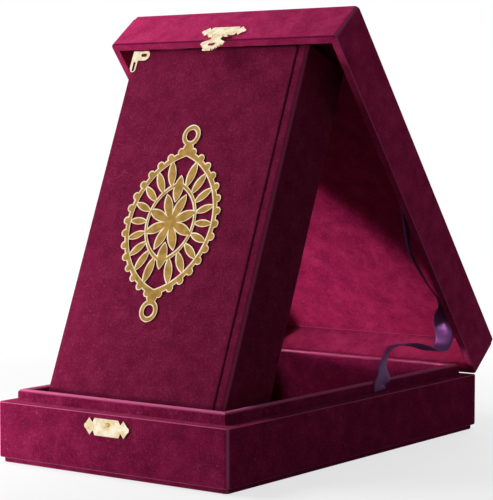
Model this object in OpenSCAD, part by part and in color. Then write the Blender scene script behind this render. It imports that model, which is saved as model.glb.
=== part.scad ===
// A velvet book box, open, with its book leaning in the tray and holding up the lid.
// The origin is the middle of the underside, +Z is up and the front looks towards -Y.

/* [Book] */
// Width of the covers from spine to fore-edge
book_w = 131.5; // [100:0.5:170]
// Height of the covers
book_h = 240.5; // [200:0.5:300]
// Thickness of the closed book
book_t = 42; // [32:0.5:46]
// Thickness of a covered board
cover_t = 3.5; // [2.6:0.1:5]
// How far the covers stand out past the leaves
square_w = 3.5; // [2:0.1:5]
// Room between the book and the lip at either side
side_room = 6.25; // [4:0.05:10]
// Room between the lying book and the lip at either end
end_room = 2.75; // [1.5:0.05:6]
// Room in front of the foot of the leaning book
foot_room = 1.8; // [1:0.1:12]
// How far the book stands to the left of the middle
book_shift = 2.4; // [0:0.1:4]
// Width of the spine's shoulder beside the groove
shoulder_w = 4.8; // [4.5:0.1:10]
// Width of the groove along the spine
groove_w = 3.4; // [3:0.1:8]
// Depth of the groove
groove_d = 0.9; // [0.5:0.1:1.7]
// Thickness of the spine board
spine_t = 3; // [2:0.1:5]

/* [Box] */
// Radius of the upright corners
corner_r = 3; // [2.6:0.1:4]
// Radius of the velvet where it turns over an edge
edge_r = 0.9; // [0.7:0.1:1.3]
// Thickness of the velvet skin
velvet_t = 0.8; // [0.6:0.1:1]

/* [Base tray] */
// Thickness of the bottom board
bottom_t = 3; // [2.6:0.1:5]
// How far the bottom board is set in from the walls
bottom_inset = 2; // [0.5:0.1:4]
// Height of the tray's walls above the bottom board
base_h = 33; // [28:0.5:40]
// Width of the flat ledge on top of the walls
ledge_w = 8.5; // [7.5:0.1:12]
// Thickness of the inner lip
lip_t = 4.5; // [3:0.1:6]
// How far the lip stands up past the ledge
lip_rise = 7; // [3:0.1:10]
// Thickness of the padded floor
floor_pad_t = 2.5; // [1.5:0.1:4]

/* [Lid] */
// Height of the lid from its rim to its top
lid_h = 31; // [27:0.5:40]
// Thickness of the lid's covered walls
lid_wall_t = 5; // [4.4:0.1:6.5]
// Thickness of the top panel
lid_top_t = 4; // [2.6:0.1:6]
// How far the top panel is set in from the walls
lid_top_inset = 0.4; // [0.2:0.1:1]
// Thickness of the padded lining in the top
lid_pad_t = 4; // [2:0.1:6]
// Gap between the closed lid and the ledge
seam_gap = 0.3; // [0.2:0.05:0.6]

/* [Corner guards] */
// Length of the wide leg along the top edge
guard_top_w = 13; // [11:0.5:20]
// Depth of the wide leg
guard_top_h = 7.2; // [6.5:0.1:10]
// Length of the narrow leg along the fore-edge
guard_side_h = 15; // [13:0.5:24]
// Width of the narrow leg
guard_side_w = 4.4; // [4:0.1:6]
// Thickness of the brass sheet
guard_t = 0.5; // [0.4:0.05:0.8]

/* [Emblem] */
// Width of the almond medallion
emblem_w = 66; // [50:1:76]
// Height of the almond medallion without its pendants
emblem_h = 92; // [80:1:120]
// Rise of its middle above the middle of the cover
emblem_rise = 8; // [0:0.5:14]
// Relief of the emblem
emblem_t = 0.8; // [0.4:0.1:1.2]
// Width of its raised border
emblem_rim = 3.2; // [2:0.1:5]

/* [Clasp] */
// Length of the two clasp plates
plate_w = 33; // [30:0.5:42]
// Height of the lower plate
strike_h = 10; // [9:0.1:12]
// Height of the upper plate
clasp_h = 8.4; // [8:0.1:11]
// Thickness of the brass sheet
plate_t = 0.8; // [0.6:0.1:1]
// Distance of the lower plate's middle below the ledge
strike_drop = 7.6; // [6.5:0.1:10]
// Distance of the upper plate's middle above the rim
clasp_rise = 8.4; // [8.2:0.1:12]
// Length of the swinging hasp below its pin
hasp_l = 15; // [13:0.5:18]
// Width of the hasp at its shoulders
hasp_w = 17; // [15:0.5:22]
// Width of the hasp's tip
hasp_tip_w = 6; // [5:0.5:10]
// Diameter of the knob that the hasp slips over
knob_d = 3; // [2.4:0.1:3.2]

/* [Hinges] */
// Distance of each hinge's middle from the side of the box
hinge_inset = 33; // [26:1:45]
// Length of a leaf
leaf_w = 26; // [22:0.5:32]
// Height of a leaf below the axis
leaf_h = 9.5; // [9:0.1:12]
// Thickness of a leaf
leaf_t = 0.8; // [0.6:0.1:1]
// Diameter of the barrel
barrel_d = 3.4; // [3:0.1:4]
// Depth to which the barrel is let into the back face
barrel_sink = 2; // [1.5:0.1:2]
// Diameter of the hinge pin
hinge_pin_d = 1.6; // [1.2:0.1:1.8]

/* [Nails] */
// Diameter of a domed nail head
nail_head_d = 3; // [2.4:0.1:3.4]
// Diameter of the nail shank
nail_d = 1.2; // [1:0.1:1.4]
// Length of the nail below its head
nail_l = 3.6; // [3:0.1:4]

/* [Ribbon] */
// Width of the satin ribbon
ribbon_w = 13; // [10:0.5:16]
// Thickness of the ribbon
ribbon_t = 0.5; // [0.4:0.05:0.8]

/* [Hidden] */
$fn = 64;
// Running clearance of a pin in its bore, on the radius
pin_gap = 0.05;
// Gap between neighbouring knuckles
knuckle_gap = 0.3;
// Gap between a piece that lies in a hollow and its wall
lay_gap = 0.2;
// Gap between the leaning book and the lid it carries
prop_gap = 0.4;
// Extra length of a cutting tool past the face that it cuts
cut = 1;

base_top = bottom_t + base_h;
rim_z = base_top + seam_gap;
lid_top_z = rim_z + lid_h;
lip_top = base_top + lip_rise;
floor_z = bottom_t + floor_pad_t;

// The box is made round the lying book: room, lip and ledge on every side
tray_w = book_w + 2 * side_room;
tray_d = book_h + 2 * end_room;
box_w = tray_w + 2 * (ledge_w + lip_t);
box_d = tray_d + 2 * (ledge_w + lip_t);
hinge_span = box_w - 2 * hinge_inset;
front_y = -box_d / 2;
back_y = box_d / 2;
base_board_t = ledge_w - velvet_t;
lid_board_t = lid_wall_t - 2 * velvet_t;
lid_inner_w = box_w - 2 * lid_wall_t;
lid_inner_d = box_d - 2 * lid_wall_t;
lining_depth = lid_h - lid_top_t - lid_pad_t;

// The hinge axis lies in the seam, its barrel partly let into the back face
barrel_r = barrel_d / 2;
hinge_y = back_y + barrel_r - barrel_sink;
hinge_z = base_top + seam_gap / 2;

// The book stands on its lower back edge, its guards just clear of the floor
foot_gap = 2 * guard_t;
foot_y = front_y + ledge_w + lip_t + foot_room + book_t;
foot_z = floor_z + foot_gap;
foot_to_hinge = [hinge_y - foot_y, hinge_z - foot_z];
foot_rise = atan2(foot_to_hinge.y, foot_to_hinge.x);

// The top of the book, guards included, seen from its lower back edge
book_reach = [book_t + guard_t, book_h + guard_t];
book_slant = atan2(book_reach.x, book_reach.y);
prop_t = book_t + 2 * guard_t;

// The lid comes to rest with the book's top front edge behind the front wall
// and its top back edge against the lining: both angles settle in a few rounds
function prop_edge(tilt) = [
  hinge_y - front_y - lid_wall_t - prop_gap,
  rim_z - hinge_z + lining_depth - prop_gap - prop_t * sin(tilt)
];
function angle_between(a, b, opposite) = acos((a * a + b * b - opposite * opposite) / (2 * a * b));
function rest_lean(edge) = 90 + book_slant - foot_rise
  - angle_between(norm(book_reach), norm(foot_to_hinge), norm(edge));
function rest_open(edge) = angle_between(norm(edge), norm(foot_to_hinge), norm(book_reach))
  - atan2(edge.y, edge.x) - foot_rise;
function settle(tilt, rounds) = rounds == 0
  ? [rest_open(prop_edge(tilt)), rest_lean(prop_edge(tilt))]
  : settle(rest_open(prop_edge(tilt)) - rest_lean(prop_edge(tilt)), rounds - 1);
rest = settle(30, 12);
lid_open = rest[0];
book_lean = rest[1];
echo(lid_open = lid_open, book_lean = book_lean, hinge = [hinge_y, hinge_z], foot = [foot_y, foot_z]);

velvet = "#7d163a";
lining = "#a02a5c";
timber = "#c29a66";
gold = "#c9a84f";
leaves = "#efe6cf";
satin = "#965a96";

// Shapes shared by several pieces

// Rectangle with round corners, centred
module soft_rect(w, h, r) {
  square([w - 2 * r, h], center = true);
  square([w, h - 2 * r], center = true);
  for (sx = [-1, 1], sy = [-1, 1])
    translate([sx * (w / 2 - r), sy * (h / 2 - r)])
      circle(r);
}

// Upright block with round corners and sharp edges, standing on z = 0
module round_prism(w, d, h, r) {
  linear_extrude(h)
    soft_rect(w, d, r);
}

// Section of a soft edge: as wide as the corner radius, its outer edges rounded
module edge_section(r, h, edge) {
  square([r - edge, h]);
  translate([0, edge])
    square([r, h - 2 * edge]);
  for (z = [edge, h - edge])
    translate([r - edge, z])
      circle(edge);
}

// Upright block with round corners whose edges are softly rounded, standing on z = 0
module soft_block(w, d, h, r, edge) {
  straight = [w - 2 * r, d - 2 * r];
  translate([0, 0, h / 2])
    cube([straight.x, straight.y, h], center = true);
  for (turn = [0 : 3])
    rotate([0, 0, 90 * turn]) {
      across = turn % 2 == 0 ? straight : [straight.y, straight.x];
      translate([across.x / 2, across.y / 2, 0]) {
        rotate_extrude(angle = 90)
          edge_section(r, h, edge);
        rotate([90, 0, 0])
          linear_extrude(across.y)
            edge_section(r, h, edge);
      }
    }
}

// Places what is drawn with the lid shut at the lid's resting angle
module in_lid() {
  translate([0, hinge_y, hinge_z])
    rotate([-lid_open, 0, 0])
      translate([0, -hinge_y, -hinge_z])
        children();
}

// Places what is drawn upright, front face on y = 0, as the book leans in the tray
module in_book() {
  translate([-book_shift, foot_y, foot_z])
    rotate([-book_lean, 0, 0])
      translate([0, -book_t, 0])
        children();
}

// Turns z into the way out of the front face, at height z on the front
module on_front(x, z) {
  translate([x, front_y, z])
    rotate([90, 0, 0])
      children();
}

// Turns z into the way out of the back face
module on_back(x, z) {
  translate([x, back_y, z])
    rotate([-90, 0, 0])
      children();
}

// Nail with a domed head, driven along -z through a sheet that ends at z = sheet
module nail(sheet) {
  dome_h = nail_head_d / 4;
  dome_r = (nail_head_d * nail_head_d / 4 + dome_h * dome_h) / (2 * dome_h);
  translate([0, 0, sheet - nail_l])
    cylinder(d = nail_d, h = nail_l);
  intersection() {
    translate([0, 0, sheet])
      cylinder(d = nail_head_d, h = dome_h);
    translate([0, 0, sheet + dome_h - dome_r])
      sphere(dome_r);
  }
}

// Hole for a nail, from outside the sheet down to the nail's point
module nail_hole(sheet) {
  translate([0, 0, sheet - nail_l])
    cylinder(d = nail_d, h = nail_l + cut);
}

// Where the nails sit: both clasp plates, and the leaves on the tray and on the lid
plate_nail_x = plate_w * 0.38;
strike_z = base_top - strike_drop;
clasp_z = rim_z + clasp_rise;
leaf_nail_x = leaf_w / 2 - nail_head_d;
leaf_nail_z = leaf_h - nail_head_d;

module at_strike_nails() {
  for (sx = [-1, 1])
    on_front(sx * plate_nail_x, strike_z)
      children();
}

module at_clasp_nails() {
  for (sx = [-1, 1])
    on_front(sx * plate_nail_x, clasp_z)
      children();
}

module at_leaf_nails(up) {
  for (sx = [-1, 1], s = [-1, 1])
    on_back(sx * hinge_span / 2 + s * leaf_nail_x, hinge_z + up * leaf_nail_z)
      children();
}

// Wooden wall boards: front and back carry a rabbet that takes the ends of the side boards

module long_board(t, z0, h, skin, side) {
  rabbet = t / 2;
  intersection() {
    translate([0, 0, z0])
      round_prism(box_w - 2 * skin, box_d - 2 * skin, h, corner_r - skin);
    difference() {
      translate([-box_w / 2, side > 0 ? back_y - skin - t : front_y + skin, z0])
        cube([box_w, t, h]);
      for (sx = [-1, 1])
        translate([sx * (box_w / 2 - skin - t / 2), side * (back_y - skin - t + rabbet / 2), z0 + h / 2])
          cube([t, rabbet, h + 2 * cut], center = true);
    }
  }
}

module short_board(t, z0, h, skin, side) {
  l = box_d - 2 * skin - t;
  intersection() {
    translate([0, 0, z0])
      round_prism(box_w - 2 * skin, box_d - 2 * skin, h, corner_r - skin);
    translate([side * (box_w / 2 - skin - t / 2), 0, z0 + h / 2])
      cube([t, l, h], center = true);
  }
}

// Base tray

base_board_z = bottom_t + velvet_t;
base_board_h = base_h - 2 * velvet_t;

module bottom_board() {
  color(velvet)
    soft_block(box_w - 2 * bottom_inset, box_d - 2 * bottom_inset, bottom_t, corner_r, edge_r);
}

module base_front_board() {
  color(timber)
    difference() {
      long_board(base_board_t, base_board_z, base_board_h, velvet_t, -1);
      at_strike_nails()
        nail_hole(plate_t);
      strike_knob_hole();
    }
}

module base_back_board() {
  color(timber)
    difference() {
      long_board(base_board_t, base_board_z, base_board_h, velvet_t, 1);
      at_leaf_nails(-1)
        nail_hole(leaf_t);
      hinge_hollow();
    }
}

module base_left_board() {
  color(timber)
    short_board(base_board_t, base_board_z, base_board_h, velvet_t, -1);
}

module base_right_board() {
  color(timber)
    short_board(base_board_t, base_board_z, base_board_h, velvet_t, 1);
}

// Velvet round the outside of the walls, over the ledge and turned under
module base_cover() {
  color(velvet)
    difference() {
      translate([0, 0, bottom_t])
        soft_block(box_w, box_d, base_h, corner_r, edge_r);
      translate([0, 0, base_board_z])
        round_prism(box_w - 2 * velvet_t, box_d - 2 * velvet_t, base_board_h, corner_r - velvet_t);
      translate([0, 0, base_top / 2])
        cube([box_w - 2 * ledge_w, box_d - 2 * ledge_w, base_top + 2 * cut], center = true);
      at_strike_nails()
        nail_hole(plate_t);
      strike_knob_hole();
      at_leaf_nails(-1)
        nail_hole(leaf_t);
      hinge_hollow();
    }
}

// One strip of the lip along +x, its ends mitred, its inner face on y = 0
module lip_strip(inner_l) {
  h = lip_top - bottom_t;
  intersection() {
    translate([-inner_l / 2 - lip_t, 0, 0])
      rotate([90, 0, 90])
        linear_extrude(inner_l + 2 * lip_t) {
          square([lip_t, h - lip_t / 2]);
          translate([lip_t / 2, h - lip_t / 2])
            circle(lip_t / 2);
        }
    linear_extrude(h)
      polygon([
        [-inner_l / 2, 0], [inner_l / 2, 0],
        [inner_l / 2 + lip_t, lip_t], [-inner_l / 2 - lip_t, lip_t]
      ]);
  }
}

module lip_front() {
  color(lining)
    translate([0, -tray_d / 2, bottom_t])
      rotate([0, 0, 180])
        lip_strip(tray_w);
}

module lip_back() {
  color(lining)
    translate([0, tray_d / 2, bottom_t])
      lip_strip(tray_w);
}

module lip_left() {
  color(lining)
    translate([-tray_w / 2, 0, bottom_t])
      rotate([0, 0, 90])
        lip_strip(tray_d);
}

module lip_right() {
  color(lining)
    translate([tray_w / 2, 0, bottom_t])
      rotate([0, 0, -90])
        lip_strip(tray_d);
}

module floor_pad() {
  color(lining)
    translate([0, 0, bottom_t])
      soft_block(tray_w - 2 * lay_gap, tray_d - 2 * lay_gap, floor_pad_t, corner_r, floor_pad_t / 3);
}

// Clasp

// Sheet of both plates: a bar whose ends widen into arrow lobes with round tips
module arrow_plate(h) {
  neck = h * 0.23;
  tip_r = h * 0.18;
  tip_x = plate_w / 2 - tip_r;
  upper = [
    [plate_w / 2 - h * 0.77, h / 2], [plate_nail_x - neck, neck], [plate_nail_x, h / 2],
    [plate_nail_x + neck, neck], [tip_x + tip_r / 4, 3 * tip_r / 4]
  ];
  n = len(upper) - 1;
  union() {
    linear_extrude(plate_t)
      polygon([
        for (p = upper) p,
        for (i = [n : -1 : 0]) [upper[i].x, -upper[i].y],
        for (p = upper) -p,
        for (i = [n : -1 : 0]) [-upper[i].x, upper[i].y]
      ]);
    for (sx = [-1, 1])
      translate([sx * tip_x, 0, 0])
        cylinder(r = tip_r, h = plate_t);
  }
}

hasp_pin_d = 1.2;
hasp_knuckle_r = 1.2;
// The pin hangs below the upper plate, far enough for the knuckle to turn
hasp_pin_z = clasp_z - clasp_h / 2 - hasp_knuckle_r - knuckle_gap;
hasp_pin_out = hasp_knuckle_r + lay_gap;
hasp_knuckle_w = 7.4;
plate_knuckle_w = 3.2;
hasp_blade_out = plate_t + 2 * lay_gap;
hasp_slot_w = knob_d + 2;
// The slot sits over the knob when the lid is shut
knob_z = base_top - 6;
hasp_slot_drop = hasp_pin_z - knob_z;

module strike_knob_hole() {
  on_front(0, knob_z)
    translate([0, 0, plate_t - nail_l])
      cylinder(d = nail_d, h = nail_l + cut);
}

module strike_plate() {
  color(gold)
    difference() {
      on_front(0, strike_z)
        arrow_plate(strike_h);
      at_strike_nails()
        nail_hole(plate_t);
      strike_knob_hole();
    }
}

// Turned knob: a waist and a rounded head, riveted through the plate into the wall
module strike_knob() {
  waist_h = hasp_blade_out + lay_gap;
  color(gold)
    on_front(0, knob_z) {
      translate([0, 0, plate_t - nail_l])
        cylinder(d = nail_d, h = nail_l);
      translate([0, 0, plate_t])
        cylinder(d = knob_d * 0.7, h = waist_h);
      translate([0, 0, plate_t + waist_h])
        intersection() {
          cylinder(d = knob_d, h = knob_d);
          sphere(knob_d * 0.55);
        }
    }
}

module strike_nails() {
  color(gold)
    at_strike_nails()
      nail(plate_t);
}

// Upper plate with its two knuckles and the tongues that carry them
module clasp_plate() {
  knuckle_x = hasp_knuckle_w / 2 + knuckle_gap;
  color(gold)
    in_lid()
      difference() {
        union() {
          on_front(0, clasp_z)
            arrow_plate(clasp_h);
          for (sx = [-1, 1])
            translate([sx * (knuckle_x + plate_knuckle_w / 2), 0, 0]) {
              translate([-plate_knuckle_w / 2, front_y - plate_t, hasp_pin_z])
                cube([plate_knuckle_w, plate_t, clasp_z - hasp_pin_z]);
              translate([-plate_knuckle_w / 2, front_y - hasp_pin_out, hasp_pin_z])
                rotate([0, 90, 0])
                  cylinder(r = hasp_knuckle_r, h = plate_knuckle_w);
            }
        }
        hasp_pin_bore(hasp_knuckle_w + 4 * plate_knuckle_w, hasp_pin_d / 2);
        at_clasp_nails()
          nail_hole(plate_t);
      }
}

module hasp_pin_bore(l, r) {
  translate([-l / 2, front_y - hasp_pin_out, hasp_pin_z])
    rotate([0, 90, 0])
      cylinder(r = r, h = l);
}

module hasp_pin() {
  color(gold)
    in_lid()
      hasp_pin_bore(hasp_knuckle_w + 2 * knuckle_gap + 2 * plate_knuckle_w, hasp_pin_d / 2);
}

module clasp_nails() {
  color(gold)
    in_lid()
      at_clasp_nails()
        nail(plate_t);
}

// Outline of the hasp with its pin on y = 0: neck, shoulders, scalloped taper and tip
module hasp_outline() {
  neck_w = hasp_knuckle_w;
  shoulder = hasp_l * 0.46;
  scallop_r = hasp_l * 0.09;
  taper = [hasp_w / 2 - hasp_tip_w / 2, hasp_l - shoulder - 2 * scallop_r];
  difference() {
    union() {
      translate([-neck_w / 2, -shoulder])
        square([neck_w, shoulder]);
      polygon([
        [-neck_w / 2, -shoulder * 0.62], [neck_w / 2, -shoulder * 0.62],
        [hasp_w / 2, -shoulder], [hasp_tip_w / 2, -hasp_l],
        [-hasp_tip_w / 2, -hasp_l], [-hasp_w / 2, -shoulder]
      ]);
      for (sx = [-1, 1], i = [0 : 3])
        translate([sx * (hasp_w / 2 - scallop_r - taper.x * i / 4), -shoulder - scallop_r - taper.y * i / 4])
          circle(scallop_r * 1.15);
    }
    translate([0, -hasp_slot_drop])
      soft_rect(hasp_slot_w, knob_d + 2 * lay_gap, knob_d / 2);
  }
}

// Swinging hasp: a flat blade with a rolled lower edge, hung on the pin
module hasp() {
  color(gold)
    in_lid()
      difference() {
        union() {
          hasp_pin_bore(hasp_knuckle_w, hasp_knuckle_r);
          translate([0, front_y - hasp_blade_out, hasp_pin_z])
            rotate([90, 0, 0])
              linear_extrude(plate_t)
                hasp_outline();
          translate([-hasp_tip_w / 2, front_y - hasp_blade_out - plate_t, hasp_pin_z - hasp_l])
            rotate([0, 90, 0])
              cylinder(r = plate_t, h = hasp_tip_w);
        }
        hasp_pin_bore(2 * hasp_knuckle_w, hasp_pin_d / 2 + pin_gap);
      }
}

// Hinges: the tray's leaf has the two outer knuckles, the lid's leaf the middle one

mid_knuckle_w = leaf_w * 0.36;
side_knuckle_w = (leaf_w - mid_knuckle_w) / 2 - knuckle_gap;

module barrel(x0, l, r) {
  translate([x0, hinge_y, hinge_z])
    rotate([0, 90, 0])
      cylinder(r = r, h = l);
}

// Hollow in the back wall for both barrels and the buttons of their pins
module hinge_hollow() {
  l = leaf_w + 2 * barrel_r;
  for (sx = [-1, 1])
    translate([sx * hinge_span / 2, 0, 0])
      barrel(-l / 2, l, barrel_r + knuckle_gap);
}

// One leaf on the back face, up = 1 on the lid and -1 on the tray
module leaf_plate(up) {
  edge = up > 0 ? hinge_z : hinge_z - leaf_h;
  translate([-leaf_w / 2, back_y, edge])
    cube([leaf_w, leaf_t, leaf_h]);
}

// Room that a leaf leaves for the other leaf's knuckle
module knuckle_room(x0, l) {
  barrel(x0, l, barrel_r + knuckle_gap);
  translate([x0, back_y - cut, hinge_z - barrel_r - knuckle_gap])
    cube([l, barrel_r + cut, 2 * (barrel_r + knuckle_gap)]);
}

module base_leaf(sx) {
  color(gold)
    difference() {
      translate([sx * hinge_span / 2, 0, 0])
        difference() {
          union() {
            leaf_plate(-1);
            for (s = [-1, 1])
              barrel(s > 0 ? leaf_w / 2 - side_knuckle_w : -leaf_w / 2, side_knuckle_w, barrel_r);
          }
          knuckle_room(-mid_knuckle_w / 2 - knuckle_gap, mid_knuckle_w + 2 * knuckle_gap);
          barrel(-leaf_w, 2 * leaf_w, hinge_pin_d / 2);
        }
      at_leaf_nails(-1)
        nail_hole(leaf_t);
    }
}

module lid_leaf(sx) {
  room_w = (leaf_w - mid_knuckle_w) / 2 + cut;
  color(gold)
    in_lid()
      difference() {
        translate([sx * hinge_span / 2, 0, 0])
          difference() {
            union() {
              leaf_plate(1);
              barrel(-mid_knuckle_w / 2, mid_knuckle_w, barrel_r);
            }
            for (s = [-1, 1])
              knuckle_room(s > 0 ? mid_knuckle_w / 2 : -mid_knuckle_w / 2 - room_w, room_w);
            barrel(-leaf_w, 2 * leaf_w, hinge_pin_d / 2 + pin_gap);
          }
        at_leaf_nails(1)
          nail_hole(leaf_t);
      }
}

// Hinge pin with a domed button at each end
module hinge_pin(sx) {
  color(gold)
    translate([sx * hinge_span / 2, 0, 0]) {
      barrel(-leaf_w / 2, leaf_w, hinge_pin_d / 2);
      for (s = [-1, 1])
        translate([s * leaf_w / 2, hinge_y, hinge_z])
          intersection() {
            sphere(barrel_r * 0.8);
            translate([s * barrel_r, 0, 0])
              cube(2 * barrel_r, center = true);
          }
    }
}

module hinge_base_leaf_left() {
  base_leaf(-1);
}

module hinge_base_leaf_right() {
  base_leaf(1);
}

module hinge_lid_leaf_left() {
  lid_leaf(-1);
}

module hinge_lid_leaf_right() {
  lid_leaf(1);
}

module hinge_pin_left() {
  hinge_pin(-1);
}

module hinge_pin_right() {
  hinge_pin(1);
}

module hinge_base_nails() {
  color(gold)
    at_leaf_nails(-1)
      nail(leaf_t);
}

module hinge_lid_nails() {
  color(gold)
    in_lid()
      at_leaf_nails(1)
        nail(leaf_t);
}

// Lid

lid_board_z = rim_z + velvet_t;
lid_board_h = lid_h - lid_top_t - velvet_t;

module lid_front_board() {
  color(timber)
    in_lid()
      difference() {
        long_board(lid_board_t, lid_board_z, lid_board_h, velvet_t, -1);
        at_clasp_nails()
          nail_hole(plate_t);
      }
}

module lid_back_board() {
  color(timber)
    in_lid()
      difference() {
        long_board(lid_board_t, lid_board_z, lid_board_h, velvet_t, 1);
        at_leaf_nails(1)
          nail_hole(leaf_t);
        hinge_hollow();
      }
}

module lid_left_board() {
  color(timber)
    in_lid()
      short_board(lid_board_t, lid_board_z, lid_board_h, velvet_t, -1);
}

module lid_right_board() {
  color(timber)
    in_lid()
      short_board(lid_board_t, lid_board_z, lid_board_h, velvet_t, 1);
}

// Velvet outside the walls, round the rim and up the inside
module lid_cover() {
  skin_h = lid_h - lid_top_t;
  core_w = box_w - 2 * velvet_t;
  core_d = box_d - 2 * velvet_t;
  color(velvet)
    in_lid()
      difference() {
        intersection() {
          translate([0, 0, rim_z])
            soft_block(box_w, box_d, skin_h + corner_r, corner_r, edge_r);
          translate([0, 0, rim_z + skin_h / 2])
            cube([2 * box_w, 2 * box_d, skin_h], center = true);
        }
        translate([0, 0, lid_board_z])
          difference() {
            round_prism(core_w, core_d, skin_h, corner_r - velvet_t);
            translate([0, 0, -cut])
              linear_extrude(skin_h + 2 * cut)
                square([lid_inner_w + 2 * velvet_t, lid_inner_d + 2 * velvet_t], center = true);
          }
        translate([0, 0, rim_z + skin_h / 2])
          cube([lid_inner_w, lid_inner_d, skin_h + 2 * cut], center = true);
        at_clasp_nails()
          nail_hole(plate_t);
        at_leaf_nails(1)
          nail_hole(leaf_t);
        hinge_hollow();
      }
}

module lid_top_panel() {
  w = box_w - 2 * lid_top_inset;
  d = box_d - 2 * lid_top_inset;
  color(velvet)
    in_lid()
      translate([0, 0, lid_top_z - lid_top_t])
        soft_block(w, d, lid_top_t, corner_r, edge_r);
}

module lid_pad() {
  color(lining)
    in_lid()
      translate([0, 0, lid_top_z - lid_top_t - lid_pad_t])
        soft_block(lid_inner_w - 2 * lay_gap, lid_inner_d - 2 * lay_gap, lid_pad_t, corner_r, lid_pad_t / 3);
}

// Ribbon: a thin strip swept along its route, which is written as the distance in from the
// right side, the distance forward of the back and the height above the ledge, with the way
// the ribbon's width lies at each point

ribbon_route = [
  [lid_wall_t + 0.5, 84, 119], [8, 77, 107], [12, 70, 94.5], [15.5, 60, 80.5], [18, 42, 63], [17, 28.5, 51],
  [15.5, 23.5, 40], [13.5, 21.5, 29], [14, 25, 20], [15, 36, 18], [15.5, 54, 23], [15, 73, 26],
  [13.5, 87, 24], [11, 96, 17], [ledge_w - 0.8, 103, 10], [ledge_w - 0.5, 106.9, 4.5],
  [ledge_w - 0.4, 107, 0.8]
];
ribbon_lay = [
  [0, 0.8, 0.6], [0, 0.8, 0.6], [-0.1, 0.8, 0.55], [-0.2, 0.8, 0.4], [-0.35, 0.8, 0.15], [-0.55, 0.8, 0],
  [-0.2, 1, 0], [0.15, 1, 0], [0.7, 0.7, 0], [1, 0.1, 0], [1, 0, 0.1], [1, 0, 0.15],
  [0.8, -0.5, 0.1], [0.58, -0.8, 0], [0, -1, 0], [0, -1, 0], [0, -1, 0]
];
ribbon_steps = 4;

function spline(p, i, t) = let(
  n = len(p) - 1,
  a = p[max(i - 1, 0)],
  b = p[i],
  c = p[min(i + 1, n)],
  d = p[min(i + 2, n)]
) b + t * (c - a) / 2 + t * t * (2 * a - 5 * b + 4 * c - d) / 2 + t * t * t * (3 * b - a - 3 * c + d) / 2;
function along(p) = [
  for (i = [0 : len(p) - 2], k = [0 : ribbon_steps - 1]) spline(p, i, k / ribbon_steps),
  p[len(p) - 1]
];
function unit(v) = v / norm(v);

module ribbon_stay() {
  line = [for (p = along(ribbon_route)) [box_w / 2 - p.x, back_y - p.y, base_top + p.z]];
  lay = along(ribbon_lay);
  n = len(line);
  run = [for (i = [0 : n - 1]) unit(line[min(i + 1, n - 1)] - line[max(i - 1, 0)])];
  side = [for (i = [0 : n - 1]) unit(lay[i] - run[i] * (lay[i] * run[i])) * ribbon_w / 2];
  face = [for (i = [0 : n - 1]) unit(cross(run[i], side[i])) * ribbon_t / 2];
  points = [
    for (i = [0 : n - 1], c = [[-1, -1], [1, -1], [1, 1], [-1, 1]])
      line[i] + c[0] * side[i] + c[1] * face[i]
  ];
  // both faces are split along the same slant, so that they stay apart where the ribbon twists
  sides = [
    for (i = [0 : n - 2], k = [0 : 3], half = [0, 1])
      let(a = 4 * i + k, b = 4 * i + (k + 1) % 4)
        k < 2
          ? (half == 0 ? [a, b, b + 4] : [a, b + 4, a + 4])
          : (half == 0 ? [a, b, a + 4] : [b, b + 4, a + 4])
  ];
  last = 4 * (n - 1);
  ends = [[0, 2, 1], [0, 3, 2], [last, last + 1, last + 2], [last, last + 2, last + 3]];
  color(satin)
    polyhedron(points, concat(sides, ends));
}

// Book, drawn upright with the spine on +x

// Covered board standing in the x-z plane, from y0 towards +y
module cover_board(y0) {
  w = book_w - shoulder_w - groove_w;
  translate([-book_w / 2 + w / 2, y0 + cover_t, book_h / 2])
    rotate([90, 0, 0])
      soft_block(w, book_h, cover_t, corner_r, edge_r);
}

module book_front_cover() {
  color(velvet)
    in_book()
      cover_board(0);
}

module book_back_cover() {
  color(velvet)
    in_book()
      cover_board(book_t - cover_t);
}

// Section of the spine: a channel with round outer corners, its shoulders and the sunk cloth
module spine_section() {
  cloth_t = cover_t - groove_d - edge_r / 2;
  difference() {
    union() {
      translate([book_w / 2 - shoulder_w / 2 - corner_r / 2, book_t / 2])
        square([shoulder_w - corner_r, book_t], center = true);
      translate([book_w / 2 - shoulder_w / 2, book_t / 2])
        square([shoulder_w, book_t - 2 * corner_r], center = true);
      for (y = [corner_r, book_t - corner_r])
        intersection() {
          translate([book_w / 2 - corner_r, y])
            circle(corner_r);
          translate([book_w / 2 - shoulder_w, 0])
            square([shoulder_w, book_t]);
        }
      for (y = [groove_d, book_t - groove_d - cloth_t])
        translate([book_w / 2 - shoulder_w - groove_w, y])
          square([groove_w + cut, cloth_t]);
    }
    translate([book_w / 2 - shoulder_w - cut, cover_t])
      square([shoulder_w - spine_t + cut, book_t - 2 * cover_t]);
  }
}

module book_spine() {
  color(velvet)
    in_book()
      linear_extrude(book_h)
        spine_section();
}

// The leaves, hollowed a little along the fore-edge
module page_block() {
  w = book_w - square_w - spine_t;
  t = book_t - 2 * cover_t;
  hollow = 2.5;
  hollow_r = (t * t / 4 + hollow * hollow) / (2 * hollow);
  color(leaves)
    in_book()
      difference() {
        translate([-book_w / 2 + square_w, cover_t, square_w])
          cube([w, t, book_h - 2 * square_w]);
        translate([-book_w / 2 + square_w + hollow - hollow_r, book_t / 2, 0])
          cylinder(r = hollow_r, h = book_h, $fn = 128);
      }
}

// Woven band lying across one end of the leaves at the spine
module end_band(z) {
  band_r = square_w * 0.35;
  l = book_t - 2 * cover_t;
  color(leaves)
    in_book()
      intersection() {
        translate([book_w / 2 - spine_t - band_r, cover_t, z])
          rotate([-90, 0, 0])
            cylinder(r = band_r, h = l);
        translate([0, book_t / 2, z < book_h / 2 ? square_w - band_r : book_h - square_w + band_r])
          cube([2 * book_w, l, 2 * band_r], center = true);
      }
}

module head_band() {
  end_band(book_h - square_w);
}

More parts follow.
